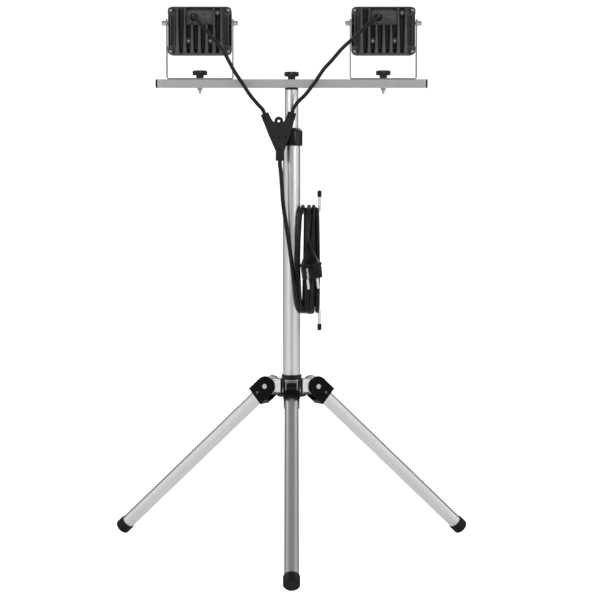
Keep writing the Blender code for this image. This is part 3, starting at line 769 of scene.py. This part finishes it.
def half_turn(start, end, side, low_z, high_z, up):
    """Half a turn of the hank between the rods, on the back (side 1) or the front (side -1)."""
    points = []
    levels = [(a, 0.0) for a in (-90, -62, -34, -6)] + [(0, s) for s in (0.2, 0.4, 0.6, 0.8)]
    levels += [(a, 1.0) for a in (6, 34, 62)]
    (x0, w0), (x1, w1) = start, end
    count = len(levels)
    for i, (angle, straight) in enumerate(levels):
        share = i / count
        ease = share * share * (3 - 2 * share)
        x = x0 + (x1 - x0) * ease
        w = w0 + (w1 - w0) * ease
        a = math.radians(angle)
        low, high = low_z + w0, high_z - w1
        z = low + (high - low) * straight + w * math.sin(a)
        bow = math.sin(math.pi * share) ** 2
        points.append((x, side * w * math.cos(a), z, bow))
    if not up:
        points.append((x1, 0.0, high_z, 0.0))
        points = points[:0:-1]
    return points


def strand_bows(number):
    """How far a turn's rear and front strands bow at mid-height, each in x and y."""
    if number == 0:
        return FIRST_REAR_BOW, FIRST_FRONT_BOW
    return (1.6 * math.sin(2.3 * number), 0.0), (2.2 * math.sin(1.7 * number + 0.6), 0.0)


def hank_route():
    """The turns round the two rods. The last is a rear half, which ends over the upper rod."""
    route = []
    low, high = ROD_LOW_Z - ROD_R - TRUNK_D / 2, ROD_HIGH_Z + ROD_R + TRUNK_D / 2
    for number, (under, over) in enumerate(HANK_TURNS):
        rear, front = strand_bows(number)
        low_z = low - STACK_LOW * (under[1] - SNUG_LOW)
        high_z = high + STACK_HIGH * (over[1] - SNUG_HIGH)
        for x, y, z, bow in half_turn(under, over, 1, low_z, high_z, True):
            route.append((x + rear[0] * bow, y + rear[1] * bow, z))
        if number + 1 == len(HANK_TURNS):
            break
        following = HANK_TURNS[number + 1][0]
        next_low = low - STACK_LOW * (following[1] - SNUG_LOW)
        for x, y, z, bow in half_turn(following, over, -1, next_low, high_z, False):
            route.append((x + front[0] * bow, y + front[1] * bow, z))
    return route


def plug_place():
    return shift(*PLUG_FACE) @ turn(-PLUG_TILT, "Y")


def add_trunk_and_hank():
    """The trunk below the splitter, and one mesh from there through the hank to the plug."""
    top = plug_place() @ Vector((0, 0, RELIEF_END))
    above = plug_place() @ Vector((0, 0, RELIEF_LEAD_IN))
    x = HANK_TURNS[-1][1][0]
    tail = [(x, -1, 622.2), (x, -15, 618), (x - 0.6, -28, 606), tuple(above), tuple(top)]
    path = smooth_route([*TRUNK, *hank_route(), *tail], ROUTE_STEP)
    cut = next(i for i, point in enumerate(path) if point.z < TRUNK_SPLIT_Z)
    upper, lower = path[: cut + 1], path[cut:]
    neck = lead("trunk_lead_top", upper, TRUNK_D, ["trunk_lead"])
    wound = lead("trunk_lead_wound", lower, TRUNK_D, ["lead_hank"])
    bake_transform(neck)
    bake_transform(wound)


def add_plug():
    """An earthed two-pin plug: grooved body, rim, flared grip and a ribbed relief."""
    body = turned(
        [
            (2, 0),
            (16.6, 0),
            (17.8, 0.7),
            (18.2, 2),
            (18.6, 20.2),
            (17.9, 20.8),
            (17.9, 21.6),
            (19.0, 22.2),
            (19.4, 23),
            (19.4, 26),
            (18.9, 27.2),
            (17.2, 28.4),
            (13.6, 35),
            (10.4, 42.5),
            (9.0, 46),
            (8.3, 47),
        ],
        64,
    )
    ribs = [(8.0, 46)]
    for i in range(5):
        z, r = 47.5 + 3.4 * i, 8.2 - 0.5 * i
        ribs += [(r, z), (r, z + 2.1), (r - 1.4, z + 2.4), (r - 1.5, z + 3.2)]
    ribs += [(4.7, 65.5)]
    grip = []
    for sign in (-1, 1):
        for z in (30.5, 34.5, 38.5, 42.5):
            r = 17.4 - 0.5 * (z - 28.5)
            ridge = moved(box((-4.5, -0.6, -0.5), (4.5, 0.6, 0.5)), shift(0, sign * r * 0.99, z))
            grip.append(moved(ridge, turn(PLUG_TURN, "Z")))
    shape = merged(body, turned(ribs, 32), *grip)
    place = plug_place()
    return piece("plug_shell", moved(shape, place), "plug_rubber", "stand", ["plug_body"], 0.3)


def add_plug_contacts():
    """The pale earth strips let into the plug's two sides."""
    strips = []
    for sign in (-1, 1):
        strip = box((-1.9, -0.5, 0.8), (1.9, 0.5, 19.5))
        strips.append(moved(strip, turn(PLUG_TURN, "Z") @ shift(0, sign * 18.35, 0)))
    shape = moved(merged(*strips), plug_place())
    return piece("plug_earth_strips", shape, "strip_steel", "stand", edge=0.3)


# Detailed pieces


def facing_back(bm, x, z, height):
    """A shape drawn up Z, turned to stand on the lamp's back at a height off it."""
    return moved(bm, shift(x, BACK_Y - height, z) @ turn(90, "X"))


def screw_head(radius):
    """A pan head with a round drive recess."""
    r = radius
    profile = [(0.05, 0.5), (0.42 * r, 0.5), (0.46 * r, 1.5), (0.8 * r, 1.3), (r, 0.6), (r, -1)]
    return turned(profile, 24)


def lamp_outline(level, pocket=0.0):
    """The lamp's outline across X and Z, whose sides may step in by the pocket's depth."""
    points = rounded(LAMP_W, LAMP_H, LAMP_CORNER, level)
    half, quarter = LAMP_W / 2, len(points) // 4
    right = list(zip((half, half - pocket, half - pocket, half), POCKET_ZS))
    left = [(-x, level, z) for x, z in reversed(right)]
    right = [(x, level, z) for x, z in right]
    return points[: 2 * quarter] + left + points[2 * quarter :] + right


def inset(width, height, corner, level):
    """A smaller rounded rectangle with as many points as an outline with pockets."""
    points = rounded(width, height, corner, level)
    half, quarter = width / 2, len(points) // 4
    right = [(half, level, z) for z in POCKET_ZS]
    left = [(-x, y, z) for x, y, z in reversed(right)]
    return points[: 2 * quarter] + left + points[2 * quarter :] + right


def lamp_shell():
    """The casting's back plate, its wall with a pocket in each side, and its full front flange."""
    plate = [lamp_outline(-5, 5), lamp_outline(-7.2, 5)]
    plate.append([(x * 0.985, BACK_Y, z * 0.98) for x, _, z in lamp_outline(BACK_Y, 5)])
    wall = [lamp_outline(-5.4, 5), lamp_outline(4.6, 5)]
    wall += [inset(*LAMP_OPENING, level) for level in (4.6, -5.4)]
    flange = [lamp_outline(4.3), lamp_outline(8)]
    flange += [inset(*LAMP_OPENING, level) for level in (8, 4.3)]
    return [skin(plate), skin(wall, closed=True), skin(flange, closed=True)]


def fin(number):
    """One cooling fin: sloping sides, a crest that widens downwards, and ends cut at an angle."""
    middle, top = number * FIN_PITCH, FIN_TOPS[abs(number)]
    rings = []
    for z, height in ((-41.8, 6.4), (-36, FIN_TIP), (top - 5.4, FIN_TIP), (top, 6.4)):
        tip = 1.5 - 0.03 * z + 0.3125 * (FIN_TIP - height)
        across = ((-4.75, -0.3), (-tip, height), (tip, height), (4.75, -0.3))
        rings.append([(middle + x, BACK_Y - h, z) for x, h in across])
    return skin(rings)


def across_lamp(profile, low, high):
    """A (z, height off the back) profile drawn out along X."""
    return skin([[(x, BACK_Y - height, z) for z, height in profile] for x in (low, high)])


def lamp_ribs():
    """The fins, the sloping rims that close their ends, and the cable's raised plate."""
    shapes = [fin(number) for number in range(-3, 4)]
    rim = [(-42.2, -0.3), (-41.6, 6.4), (-40.8, 6.9), (-33.5, -0.3)]
    upper_rim = [(-z, height) for z, height in reversed(rim)]
    shapes.append(across_lamp(rim, -43.6, 43.6))
    for low, high in ((-43.6, -26), (26, 43.6)):
        shapes.append(across_lamp(upper_rim, low, high))
    shapes.append(across_lamp([(40.4, -0.3), (40.6, 4.6), (41.8, 4.6), (42.2, -0.3)], -27, 27))
    plate = [(7, -0.3), (11, 5.6), (12, 6), (34.6, 6), (35.4, 5.4), (35.6, -0.3)]
    shapes.append(across_lamp(plate, -25.5, 25.5))
    for sign in (-1, 1):
        lip = [(sign * x, z) for x, z in ((50.8, -26), (52.2, -24), (52.2, 26), (50.8, 28))]
        shapes.append(prism_y(lip, BACK_Y - 5.5, BACK_Y + 1))
    return shapes


def lamp_bosses():
    """The hollow screw bosses, the pads at the corners, the pivots and two moulded ovals."""
    shapes = []
    boss = [(3.1, -0.3), (3.1, 9.2), (4.6, 9.2), (5.1, 8.6), (5.3, -0.3)]
    pad = [(3.6, -0.3), (3.6, 1.7), (4.7, 1.7), (5.4, 1.0), (5.6, -0.3)]
    for places, profile in ((BOSSES, boss), (CORNERS, pad)):
        for x, z in places:
            shapes.append(facing_back(turned(profile, 28, closed=True), x, z, 0))
    for sign in (-1, 1):
        pivot = turned([(4.6, 47), (4.6, 56.2), (4.1, 56.8)], 28)
        shapes.append(moved(pivot, shift(0, 0, LAMP_DROP) @ turn(90 * sign, "Y")))
    oval = [(2.9, -0.3), (2.9, 0.7), (3.5, 0.7), (3.6, -0.3)]
    for z in (30, 18):
        ring = moved(turned(oval, 28, closed=True), Matrix.Diagonal((1.15, 0.85, 1, 1)))
        shapes.append(facing_back(ring, 8, z, 6))
    return shapes


def add_lamp_back(side, middle):
    place = shift(middle, 0, PIVOT_HEIGHT - LAMP_DROP)
    casting = merged(*lamp_shell(), *lamp_ribs(), *lamp_bosses())
    node_name = f"heatsink_body_{side}"
    piece(
        f"lamp_casting_{side}",
        moved(casting, place),
        "grey_casting",
        f"lamp_{side}",
        [node_name],
        0.35,
    )
    screws = [facing_back(screw_head(2.4), x, z, 6.6) for x, z in BOSSES]
    screws += [facing_back(screw_head(2.9), x, z, 0.2) for x, z in CORNERS]
    piece(f"lamp_screws_{side}", moved(merged(*screws), place), "strip_steel", f"lamp_{side}")


def add_lamp_front(side, middle):
    """The LED field, with a white dam round it."""
    place = shift(middle, 0, PIVOT_HEIGHT - LAMP_DROP)
    field = skin([rounded(19, 19, 2, level) for level in (-2.2, -1.7)])
    dam = skin(
        [rounded(w, w, 2.5, level) for w, level in ((19, -2.2), (19, -1.4), (21, -1.4), (21.4, -2.2))],
        closed=True,
    )
    piece(f"led_field_{side}", moved(field, place), "phosphor", f"lamp_{side}", edge=0.15)
    piece(f"led_dam_{side}", moved(dam, place), "led_board", f"lamp_{side}", edge=0.15)


def add_knob(name, x, seat, bolt_radius, bolt_end):
    """A ribbed hand knob on a threaded bolt. It rides on the body of its own name."""
    cap = [
        (11.4, 5.3, 0),
        (12.6, 5.5, 1.0),
        (13.4, 6.6, 1.5),
        (13.5, 11.4, 1.5),
        (12.9, 12.7, 1.1),
        (11.2, 13.5, 0),
        (6, 13.7, 0),
    ]
    stem = turned([(6.5, 0.3), (6.6, 3.6), (7.4, 5.6), (7.4, 8)], 32)
    place = shift(x, 0, seat)
    knob = moved(merged(fluted(cap, 12, 0.7), stem), place)
    piece(f"{name}_grip", knob, "knob_black", name, [name], 0.25)
    thread = [(bolt_radius - 0.5, bolt_end - seat), (bolt_radius, bolt_end - seat + 0.8)]
    while thread[-1][1] < -1:
        height = thread[-1][1]
        thread += [(bolt_radius - 0.35, height + 0.4), (bolt_radius, height + 0.8)]
    thread.append((bolt_radius, 1))
    piece(f"{name}_bolt", moved(turned(thread, 24), place), "bright_steel", name)


def add_collar():
    """The twist collar: a fluted grip with a chamfered mouth."""
    low, high = COLLAR_Z
    profile = [
        (16.2, low, 0),
        (18.9, low, 0),
        (19.7, low + 0.9, 0.1),
        (19.9, low + 2.4, 0.7),
        (19.9, high - 6.4, 0.7),
        (19.5, high - 5.2, 0.1),
        (18.6, high - 4.4, 0),
        (15.2, high - 0.7, 0),
        (13.0, high, 0),
    ]
    piece("collar_grip", fluted(profile, 12, 0.5), "gloss_black", "clamp_collar", ["clamp_collar"], 0.25)


def add_splitter_details():
    """Ribs round the splitter's three mouths, and dark discs on its front that paint the shade of its
    shallow dimples.
    """
    ribs = []
    for (x, z), heading, width in SPLITTER_RIBS:
        for step in range(3):
            band = skin(
                [
                    rounded(width + 1.6, 16.4, 2.5, level)
                    for level in (1.6 + 4 * step, 3.6 + 4 * step)
                ]
            )
            lie = shift(x, -30, z) @ turn(-90 - heading, "Y") @ turn(-90, "X")
            ribs.append(moved(band, lie))
    piece("splitter_ribs", merged(*ribs), "splitter_rubber", "crossbar", edge=0.5)
    # Painted shade: each dimple is a low disc of darker plastic, not a hollow.
    dimples = []
    for x, z in SPLITTER_DIMPLES:
        plug = turned([(0.05, -0.3), (0.05, -0.05), (1.8, 0.1), (2.0, -0.3)], 24)
        dimples.append(moved(plug, shift(x, SPLITTER_FRONT, z) @ turn(90, "X")))
    piece("splitter_dimple_shade", merged(*dimples), "black_plastic", "crossbar")


def add_fork_details(leg, azimuth):
    """A fork's cheek dimples, the screws that hold its tube, and the spacer round its pin."""
    swing = turn(azimuth, "Z") @ shift(PIVOT_R, 0, PIVOT_Z) @ turn(LEG_SLOPE, "Y")
    screws, dimples = [], []
    for sign in (-1, 1):
        out = turn(-90 * sign, "X")
        screw = moved(screw_head(2.6), out)
        screws.append(moved(screw, swing @ shift(20, sign * FORK_HALF_WIDTH, 1.8)))
        ring = turned([(2.2, -0.3), (2.5, 0.35), (3.3, 0.4), (3.7, -0.3)], 24, closed=True)
        dimples.append(moved(moved(ring, out), swing @ shift(13.5, sign * FORK_HALF_WIDTH, -2)))
    piece(f"fork_screws_{leg}", merged(*screws), "dull_steel", f"leg_{leg}")
    piece(f"fork_dimples_{leg}", merged(*dimples), "black_plastic", f"leg_{leg}")
    profile = [(4, -9), (12.2, -9), (13.2, -8), (13.2, 8), (12.2, 9), (4, 9)]
    spacer = moved(turned(profile, 48), swing @ turn(90, "X"))
    piece(f"hinge_spacer_{leg}", spacer, "gloss_black", f"leg_{leg}")


def add_details():
    for side, sign in LEFT_RIGHT:
        add_lamp_back(side, sign * LAMP_X)
        add_lamp_front(side, sign * LAMP_X)
        name = f"bracket_knob_{side}"
        add_knob(name, sign * LAMP_X, BRACKET_TOP, BRACKET_BOLT_R, BRACKET_BOLT_END)
    add_knob("centre_knob", 0, BAR_TOP, CENTRE_BOLT_R, CENTRE_BOLT_END)
    add_collar()
    add_splitter_details()
    for leg, azimuth in LEG_AZIMUTHS.items():
        add_fork_details(leg, azimuth)


def make_scene():
    add_camera()
    plug = add_plug()
    strips = add_plug_contacts()
    add_lamp_leads()
    add_trunk_and_hank()
    dress_cad_nodes()
    add_details()
    add_studio()


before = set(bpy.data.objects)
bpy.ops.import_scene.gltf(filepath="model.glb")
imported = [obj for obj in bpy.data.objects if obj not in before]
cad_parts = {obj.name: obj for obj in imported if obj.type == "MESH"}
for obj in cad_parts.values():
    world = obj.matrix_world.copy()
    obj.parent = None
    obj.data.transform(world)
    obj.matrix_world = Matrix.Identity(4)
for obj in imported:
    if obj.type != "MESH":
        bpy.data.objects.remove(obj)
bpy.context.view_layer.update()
LOOKS = make_looks()
make_scene()
